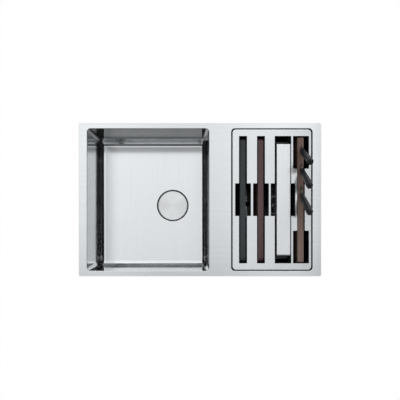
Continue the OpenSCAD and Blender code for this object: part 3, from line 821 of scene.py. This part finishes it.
class SinkKnives(bpy.types.PropertyGroup):
    """The knives' handles and their places along the block."""

    length: FloatProperty(
        name="Handle length", description="Length of a handle",
        default=0.1112, unit="LENGTH",
    )
    width: FloatProperty(
        name="Handle width", description="Thickness of a handle at its swell",
        default=0.019, unit="LENGTH",
    )
    height: FloatProperty(
        name="Handle height", description="Height of a handle from spine to edge",
        default=0.021, unit="LENGTH",
    )
    neck_width: FloatProperty(
        name="Neck width", description="Thickness of a handle at its neck",
        default=0.012, unit="LENGTH",
    )
    neck: FloatProperty(
        name="Neck", description="Distance from the block to the handle",
        default=0.009, unit="LENGTH",
    )
    rear: FloatProperty(
        name="Rear knife", description="Place of the rear knife along the block",
        default=0.169, unit="LENGTH",
    )
    middle: FloatProperty(
        name="Middle knife", description="Place of the middle knife along the block",
        default=0.1025, unit="LENGTH",
    )
    front: FloatProperty(
        name="Front knife", description="Place of the front knife along the block",
        default=0.020, unit="LENGTH",
    )


class SinkStage(bpy.types.PropertyGroup):
    """Camera, floor and light."""

    height: FloatProperty(
        name="Camera height", description="Height of the camera above the deck",
        default=1.285, unit="LENGTH",
    )
    lens: FloatProperty(name="Lens", description="Focal length in millimetres", default=34.66)
    floor_drop: FloatProperty(
        name="Floor drop", description="Drop from the worktop to the floor",
        default=0.9, unit="LENGTH",
    )
    tent: FloatProperty(
        name="Tent", description="Strength of the light tent that the steel reflects",
        default=1.09,
    )
    fill: FloatProperty(name="Fill", description="Strength of the even light on matt surfaces", default=0.9)
    key: FloatProperty(
        name="Key", description="Power of the soft box at the right rear, in watts",
        default=8.0,
    )


# ---------------------------------------------------------------- operators


class SINK_OT_steel(bpy.types.Operator):
    """Finish the deck, the cover, the colander's tray, the waste's steel, the blades and the clips"""

    bl_idname = "sink.steel"
    bl_label = "Steel"

    def execute(self, context):
        look = context.scene.sink_finish
        deck = brushed_steel("deck_satin_steel", look.steel, look.gloss)
        cover = brushed_steel("cover_satin_steel", look.steel, look.gloss, deck_run=ALONG_Y)
        finish(deck, "deck")
        finish(cover, "slotted_cover")
        colander = brushed_steel("colander_steel", look.bowl, look.gloss, deck_run=ALONG_Y)
        finish(colander, "colander_tray")
        finish(
            brushed_steel("plated_steel", look.steel, 0.32, anisotropy=0.3),
            "clip_brackets", "clip_claws", "waste_bolt",
        )
        low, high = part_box("waste_cover_disc")
        spun = spun_steel("spun_steel", look.disc, 0.34, (low + high) / 2)
        finish(spun, "waste_cover_disc", "waste_flange", "basket_strainer")
        finish(
            brushed_steel("ground_blade_steel", look.steel, 0.18, streaks=0.6),
            "rear_knife_blade", "middle_knife_blade", "front_knife_blade",
        )
        return {"FINISHED"}


class SINK_OT_basins(bpy.types.Operator):
    """Press the main bowl with its wider floor round and finish both basins"""

    bl_idname = "sink.basins"
    bl_label = "Basins"

    def execute(self, context):
        look = context.scene.sink_finish
        press = context.scene.sink_bowl
        gloss = look.gloss * 0.9
        # basin=1.0 also paints shade onto the side walls and side rounds of both basins.
        steel = brushed_steel("bowl_satin_steel", look.bowl, gloss, deck_run=ALONG_Y, streaks=0.6, basin=1.0)
        finish(steel, "accessory_box")
        low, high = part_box("main_bowl")
        edge = Vector((press.edge, press.edge, 0.0))
        low, high = low + edge, high - edge
        low.z = press.floor
        shape = bmesh.new()
        shape.from_mesh(NODES["main_bowl"].data)
        bmesh.ops.remove_doubles(shape, verts=shape.verts, dist=MERGE)
        widen_round(shape, low, high, press.sheet, press.fold, press.floor_round)
        bowl = piece("pressed_bowl", shape, steel, "sink", "bowl_steel", "main_bowl")
        bowl.modifiers.new("even_normals", "WEIGHTED_NORMAL").keep_sharp = True
        return {"FINISHED"}


class SINK_OT_plastics(bpy.types.Operator):
    """Finish the rack, the waste body and the compartment's drain"""

    bl_idname = "sink.plastics"
    bl_label = "Plastics"

    def execute(self, context):
        look = context.scene.sink_finish
        finish(
            moulded_plastic("rack_plastic", look.black, 0.55, specular=0.2),
            "rack_base", "rack_side_frames", "rack_end_frames", "rack_guides",
        )
        waste = moulded_plastic("waste_plastic", (0.02, 0.02, 0.021), 0.45)
        finish(waste, "waste_body", "box_drain_tube", "box_drain_elbow")
        tube_low, tube_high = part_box("box_drain_tube")
        flange_reach = 0.008
        bore = (tube_high.x - tube_low.x) / 2 - flange_reach
        low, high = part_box("box_drain_nut")
        nut = nut_shape((high.x - low.x) / 2, bore, high.z - low.z, 8)
        stand_on(nut, low, high)
        piece("drain_nut_with_lugs", nut, waste, "sink", "black_plastic", "box_drain_nut")
        low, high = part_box("basket_knob")
        tall = high.z - low.z
        knob = turned([
            (0.0, 0.0),
            (0.0042, 0.0),
            (0.0032, 0.15 * tall),
            (0.0029, 0.5 * tall),
            (0.0042, 0.74 * tall),
            (0.0084, 0.82 * tall),
            (0.009, 0.88 * tall),
            (0.0086, 0.95 * tall),
            (0.0066, tall),
            (0.003, 0.985 * tall),
            (0.0, 0.98 * tall),
        ], steps=40)
        stand_on(knob, low, high)
        piece("turned_basket_knob", knob, waste, "strainer", "black_plastic", "basket_knob")
        return {"FINISHED"}


class SINK_OT_soft_parts(bpy.types.Operator):
    """Make the foam seal, the gaskets, the sound pads, the feet and the hose"""

    bl_idname = "sink.soft_parts"
    bl_label = "Seals, pads and hose"

    def execute(self, context):
        soft = context.scene.sink_soft_parts
        foam = soft_rubber("closed_cell_foam", (0.028, 0.028, 0.030), 0.85)
        rubber = soft_rubber("gasket_rubber", (0.016, 0.016, 0.017), 0.6)
        bitumen = bitumen_sheet("bitumen_sheet", (0.045, 0.045, 0.047))
        self.make_rim_seal(soft, foam)
        self.make_gaskets(rubber)
        pads = bmesh.new()
        bowl_low, bowl_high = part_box("main_bowl")
        bowl_mid = (bowl_low + bowl_high) / 2
        for low, high in solids("damping_pads"):
            size = high - low
            thin = min(range(3), key=lambda axis: size[axis])
            outward = Vector((0.0, 0.0, 0.0))
            outward[thin] = 1.0 if (low[thin] + high[thin]) / 2 > bowl_mid[thin] else -1.0
            put(pads, pad_shape(low, high, outward))
        piece("pressed_sound_pads", pads, bitumen, "sink", "pad_rubber", "damping_pads")
        feet = bmesh.new()
        for low, high in solids("rack_feet"):
            radius = (high.x - low.x) / 2
            tall = high.z - low.z
            foot = turned([
                (0.0, 0.0008),
                (0.45 * radius, 0.0008),
                (0.52 * radius, 0.0),
                (0.74 * radius, 0.0),
                (0.8 * radius, 0.0008),
                (0.97 * radius, tall - 0.0006),
                (0.94 * radius, tall),
                (0.0, tall),
            ])
            stand_on(foot, low, high)
            put(feet, foot)
        piece("rubber_rack_feet", feet, rubber, "rack", "foam_rubber", "rack_feet")
        self.make_hose(soft)
        return {"FINISHED"}

    def make_rim_seal(self, soft, foam):
        """The foam ring that the deck's edge presses onto the worktop."""
        low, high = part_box("rim_seal")
        seal = round_frame(high.x - low.x, high.y - low.y, 0.003, soft.seal_width, high.z - low.z)
        ease_edges(seal, 0.0005, segments=3)
        stand_on(seal, low, high)
        piece("foam_rim_seal", seal, foam, "sink", "foam_rubber", "rim_seal")

    def make_gaskets(self, rubber):
        """The washers of the two drains and the basket's lipped seal."""
        waste_hole, drain_washer_width, groove = 0.045, 0.0067, 0.0004
        washers = (
            ("soft_waste_upper_gasket", "waste_upper_gasket", waste_hole, 0.0),
            ("soft_waste_lower_gasket", "waste_lower_gasket", waste_hole, groove),
            ("soft_drain_seal", "box_drain_seal", None, groove),
        )
        for name, node, inner, depth in washers:
            low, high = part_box(node)
            outer = (high.x - low.x) / 2
            if inner is None:
                inner = outer - drain_washer_width
            ring = seal_ring(outer, inner, high.z - low.z, depth)
            stand_on(ring, low, high)
            piece(name, ring, rubber, "sink", "foam_rubber", node)
        low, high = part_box("basket_seal")
        outer = (high.x - low.x) / 2
        tall = high.z - low.z
        hub, bore, lip = 0.009, 0.006, 0.0026
        seal = turned([
            (bore, 0.0),
            (outer - 0.004, 0.0),
            (outer - 0.0004, 0.0002),
            (outer, 0.0008),
            (outer - 0.001, lip),
            (outer - 0.006, lip - 0.0006),
            (hub + 0.008, lip - 0.0004),
            (hub + 0.002, lip + 0.0002),
            (hub, lip + 0.0012),
            (hub, tall),
            (bore, tall),
        ])
        stand_on(seal, low, high)
        piece("soft_basket_seal", seal, rubber, "strainer", "foam_rubber", "basket_seal")

    def make_hose(self, soft):
        """The hose from the compartment's elbow to the waste's stub, held at both ends."""
        low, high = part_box("drain_hose")
        radius = (high.y - low.y) / 2
        fall = soft.hose_fall
        length = (high.x - low.x - 2 * radius * math.sin(fall)) / math.cos(fall)
        hose = hose_shape(length, radius, soft.hose_wall, soft.hose_crest, soft.hose_rings, soft.hose_cuff)
        place = Matrix.Translation((low + high) / 2) @ Matrix.Rotation(-fall, 4, "Y")
        bmesh.ops.transform(hose, matrix=place, verts=hose.verts)
        material = moulded_plastic("hose_plastic", (0.05, 0.05, 0.052), 0.5)
        piece("corrugated_drain_hose", hose, material, "sink", "hose_plastic", "drain_hose", smooth_below=1.2)


class SINK_OT_fixings(bpy.types.Operator):
    """Make the threaded clip screws and the hose clamps"""

    bl_idname = "sink.fixings"
    bl_label = "Screws and clamps"

    def execute(self, context):
        zinc = brushed_steel("zinc_plated_steel", (0.62, 0.64, 0.66), 0.34, anisotropy=0.2, streaks=0.4)
        head_radius, head_height, radius, pitch = 0.0031, 0.0035, 0.002, 0.0007
        sunk = 0.0005
        screws = bmesh.new()
        for low, high in solids("clip_screws"):
            length = high.z - low.z - (head_height - sunk)
            screw = screw_shape(head_radius, head_height, radius, length, pitch)
            stand_on(screw, low, high)
            put(screws, screw)
        piece("threaded_clip_screws", screws, zinc, "sink", "fixing_steel", "clip_screws")
        soft = context.scene.sink_soft_parts
        fall = soft.hose_fall
        hose_low, hose_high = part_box("drain_hose")
        middle = (hose_low + hose_high) / 2
        band_radius = (hose_high.y - hose_low.y) / 2 - soft.hose_crest
        width, thick = 0.009, 0.0008
        clamps = bmesh.new()
        for low, high in solids("hose_clamps"):
            along = ((low.x + high.x) / 2 - middle.x) / math.cos(fall)
            start = Matrix.Translation((along - width / 2, 0.0, 0.0))
            put(clamps, clamp_shape(band_radius, thick, width), start)
        bmesh.ops.transform(
            clamps, matrix=Matrix.Translation(middle) @ Matrix.Rotation(-fall, 4, "Y"), verts=clamps.verts
        )
        piece("worm_drive_clamps", clamps, zinc, "sink", "fixing_steel", "hose_clamps")
        return {"FINISHED"}


class SINK_OT_knives(bpy.types.Operator):
    """Make the knives' faceted handles"""

    bl_idname = "sink.knives"
    bl_label = "Knife handles"

    def execute(self, context):
        knives = context.scene.sink_knives
        black = moulded_plastic("handle_plastic", (0.010, 0.0125, 0.013), 0.33, specular=0.45, pebble=0.05)
        block_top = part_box("knife_block")[1].z
        for name, place in (("rear", knives.rear), ("middle", knives.middle), ("front", knives.front)):
            node = f"{name}_knife_handle"
            low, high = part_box(node)
            shape = handle_shape(knives.length, knives.width, knives.height, knives.neck_width)
            ease_edges(shape, 0.0011, segments=3, sharper_than=0.5)
            foot = Matrix.Translation(((low.x + high.x) / 2, place, block_top))
            stand = foot @ lean_of(f"{name}_knife_draw") @ Matrix.Translation((0.0, 0.0, knives.neck))
            bmesh.ops.transform(shape, matrix=stand, verts=shape.verts)
            piece(
                f"{name}_faceted_handle", shape, black, f"{name}_knife", "handle_plastic", node,
                smooth_below=0.9,
            )
        return {"FINISHED"}


class SINK_OT_colander(bpy.types.Operator):
    """Make the colander's grips and the bead round its mouth"""

    bl_idname = "sink.colander"
    bl_label = "Colander"

    def execute(self, context):
        look = context.scene.sink_finish
        plastic = moulded_plastic("grip_plastic", (0.022, 0.027, 0.031), 0.42)
        grips = bmesh.new()
        tray_low, tray_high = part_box("colander_tray")
        middle = (tray_low + tray_high) / 2
        scoop_radius, scoop_depth = 0.030, 0.006
        for low, high in solids("colander_grips"):
            outward = 1 if low.y > middle.y else -1
            put(grips, grip_shape(low, high, outward, scoop_radius, scoop_depth))
        piece("scooped_colander_grips", grips, plastic, "colander", "grip_plastic", "colander_grips")
        roll, corner = 0.0022, 0.005
        size = tray_high - tray_low
        bead = round_frame(size.y, size.z, corner, roll, roll)
        ease_edges(bead, 0.0009, segments=3)
        upright = Matrix(((0.0, 0.0, 1.0), (1.0, 0.0, 0.0), (0.0, 1.0, 0.0))).to_4x4()
        stand = Matrix.Translation((tray_high.x - roll, middle.y, middle.z)) @ upright
        bmesh.ops.transform(bead, matrix=stand, verts=bead.verts)
        polished = brushed_steel("rolled_rim_steel", look.bowl, 0.16, anisotropy=0.3, deck_run=ALONG_Y)
        piece("rolled_colander_rim", bead, polished, "colander", "colander_steel")
        return {"FINISHED"}


class SINK_OT_boards(bpy.types.Operator):
    """Finish the two boards and the knife block"""

    bl_idname = "sink.boards"
    bl_label = "Boards"

    def execute(self, context):
        finish(pressed_fibre("charcoal_fibre", (0.034, 0.040, 0.043)), "charcoal_board")
        base, dark, pale = (0.085, 0.040, 0.045), (0.055, 0.026, 0.030), (0.12, 0.065, 0.07)
        finish(oiled_wood("red_brown_wood", base, dark, pale), "red_brown_board")
        base, dark, pale = (0.15, 0.095, 0.078), (0.085, 0.050, 0.040), (0.20, 0.14, 0.12)
        finish(oiled_wood("block_wood", base, dark, pale), "knife_block")
        return {"FINISHED"}


class SINK_OT_stage(bpy.types.Operator):
    """Set up the floor, the studio light and the camera"""

    bl_idname = "sink.stage"
    bl_label = "Studio"

    def execute(self, context):
        scene = context.scene
        stage = scene.sink_stage
        self.make_floor(scene, stage)
        self.make_world(scene, stage)
        self.make_lamp(scene, stage)
        self.make_camera(scene, stage)
        scene.view_settings.view_transform = "Standard"
        return {"FINISHED"}

    def make_floor(self, scene, stage):
        """A wide pale floor, white to the camera, that keeps a trace of the sink's shadow."""
        shape = bmesh.new()
        bmesh.ops.create_grid(shape, x_segments=1, y_segments=1, size=12.0)
        bmesh.ops.translate(shape, verts=shape.verts, vec=(0.0, 0.0, -stage.floor_drop))
        mesh = bpy.data.meshes.new("studio_floor")
        shape.to_mesh(mesh)
        shape.free()
        floor = bpy.data.objects.new("studio_floor", mesh)
        scene.collection.objects.link(floor)
        paper = bpy.data.materials.new("studio_paper")
        g = Graph(paper)
        path = g.add("ShaderNodeLightPath")
        seen = g.math(
            "MAXIMUM",
            path.outputs["Is Camera Ray"],
            g.math("MAXIMUM", path.outputs["Is Glossy Ray"], path.outputs["Is Transmission Ray"]),
        )
        diffuse = g.add("ShaderNodeBsdfDiffuse", {"Color": (0.9, 0.9, 0.9, 1.0)})
        glow = g.add("ShaderNodeEmission", {"Color": (1.0, 1.0, 1.0, 1.0), "Strength": 1.0})
        white_share = g.math("MULTIPLY", seen, 0.985)
        mixed = g.add("ShaderNodeMixShader", {0: white_share, 1: diffuse.outputs[0], 2: glow.outputs[0]})
        g.add("ShaderNodeOutputMaterial", {"Surface": mixed.outputs[0]})
        mesh.materials.append(paper)

    def make_world(self, scene, stage):
        """A light tent for what the steel reflects, even light for matt surfaces, and white behind it all."""
        world = bpy.data.worlds.new("studio")
        scene.world = world
        g = Graph(world)
        x, y, z = g.xyz(g.add("ShaderNodeTexCoord").outputs["Generated"])
        # The tent is bright overhead and to the back, and dark to the front and low at both sides.
        beside = g.math("ABSOLUTE", x)
        over_deck = g.range(y, -0.28, -0.12, 0.12, 0.84, smooth=True)
        to_back = g.range(y, -0.10, 0.26, 0.0, 0.16)
        along_y = g.math("ADD", over_deck, to_back)
        panels = g.range(beside, 0.05, 0.22, 1.0, 1.2)
        along_x = g.math("MULTIPLY", panels, g.range(beside, 0.30, 0.42, 1.0, 0.01, smooth=True))
        # A low skirt all round keeps the outer walls from going black.
        skirt = g.range(z, 0.04, 0.14, 0.45, 0.0, smooth=True)
        level = g.math("ADD", g.math("MULTIPLY", along_x, along_y), skirt)
        level = g.math("MULTIPLY", level, stage.tent)
        tent = g.add("ShaderNodeBackground", {"Color": (0.975, 0.99, 1.0, 1.0), "Strength": level})
        even = g.add("ShaderNodeBackground", {"Color": (0.985, 0.995, 1.0, 1.0), "Strength": stage.fill})
        white = g.add("ShaderNodeBackground", {"Color": (1.0, 1.0, 1.0, 1.0), "Strength": 1.0})
        path = g.add("ShaderNodeLightPath")
        through = g.math("MAXIMUM", path.outputs["Is Glossy Ray"], path.outputs["Is Transmission Ray"])
        backdrop = g.range(z, 0.02, 0.16, 1.0, 0.0, smooth=True)
        seen = g.math("MAXIMUM", path.outputs["Is Camera Ray"], g.math("MULTIPLY", through, backdrop))
        lit = g.add("ShaderNodeMixShader", {0: through, 1: even.outputs[0], 2: tent.outputs[0]})
        sky = g.add("ShaderNodeMixShader", {0: seen, 1: lit.outputs[0], 2: white.outputs[0]})
        g.add("ShaderNodeOutputWorld", {"Surface": sky.outputs[0]})

    def make_lamp(self, scene, stage):
        """A soft box at the right rear, turned to the sink, that the steel doesn't mirror."""
        lamp = bpy.data.lights.new("soft_box", "AREA")
        lamp.shape = "RECTANGLE"
        lamp.size = 1.2
        lamp.size_y = 1.2
        lamp.energy = stage.key
        box = bpy.data.objects.new("soft_box", lamp)
        box.location = (1.7, 1.7, 1.7)
        box.rotation_euler = (-box.location).to_track_quat("-Z", "Y").to_euler()
        box.visible_glossy = False
        scene.collection.objects.link(box)

    def make_camera(self, scene, stage):
        """Straight above the sink, shifted so that the object sits in the frame as it does in the photo."""
        beside, before, deck_top = -0.0401, -0.1012, 0.003
        view = bpy.data.cameras.new("camera")
        view.sensor_width = 36.0
        view.lens = stage.lens
        view.shift_x = 0.03
        view.shift_y = 0.075
        view.clip_end = 50.0
        camera = bpy.data.objects.new("camera", view)
        camera.location = (beside, before, deck_top + stage.height)
        scene.collection.objects.link(camera)
        scene.camera = camera


class SINK_PT_panel(bpy.types.Panel):
    """Lists the steps that finish the sink"""

    bl_idname = "SINK_PT_panel"
    bl_label = "Workstation Sink"
    bl_space_type = "VIEW_3D"
    bl_region_type = "UI"
    bl_category = "Sink"

    def draw(self, context):
        for step in STEPS:
            self.layout.operator(step.bl_idname)


STEPS = (
    SINK_OT_stage,
    SINK_OT_steel,
    SINK_OT_basins,
    SINK_OT_plastics,
    SINK_OT_boards,
    SINK_OT_soft_parts,
    SINK_OT_fixings,
    SINK_OT_knives,
    SINK_OT_colander,
)
GROUPS = (SinkFinish, SinkBowl, SinkSoftParts, SinkKnives, SinkStage)


def register():
    for group in GROUPS:
        bpy.utils.register_class(group)
    for step in STEPS:
        bpy.utils.register_class(step)
    bpy.utils.register_class(SINK_PT_panel)
    bpy.types.Scene.sink_finish = PointerProperty(type=SinkFinish)
    bpy.types.Scene.sink_bowl = PointerProperty(type=SinkBowl)
    bpy.types.Scene.sink_soft_parts = PointerProperty(type=SinkSoftParts)
    bpy.types.Scene.sink_knives = PointerProperty(type=SinkKnives)
    bpy.types.Scene.sink_stage = PointerProperty(type=SinkStage)


def unregister():
    del bpy.types.Scene.sink_stage
    del bpy.types.Scene.sink_knives
    del bpy.types.Scene.sink_soft_parts
    del bpy.types.Scene.sink_bowl
    del bpy.types.Scene.sink_finish
    bpy.utils.unregister_class(SINK_PT_panel)
    for step in reversed(STEPS):
        bpy.utils.unregister_class(step)
    for group in reversed(GROUPS):
        bpy.utils.unregister_class(group)


def main():
    register()
    bpy.ops.sink.stage()
    bpy.ops.sink.steel()
    bpy.ops.sink.basins()
    bpy.ops.sink.plastics()
    bpy.ops.sink.boards()
    bpy.ops.sink.soft_parts()
    bpy.ops.sink.fixings()
    bpy.ops.sink.knives()
    bpy.ops.sink.colander()


if __name__ == "__main__":
    main()
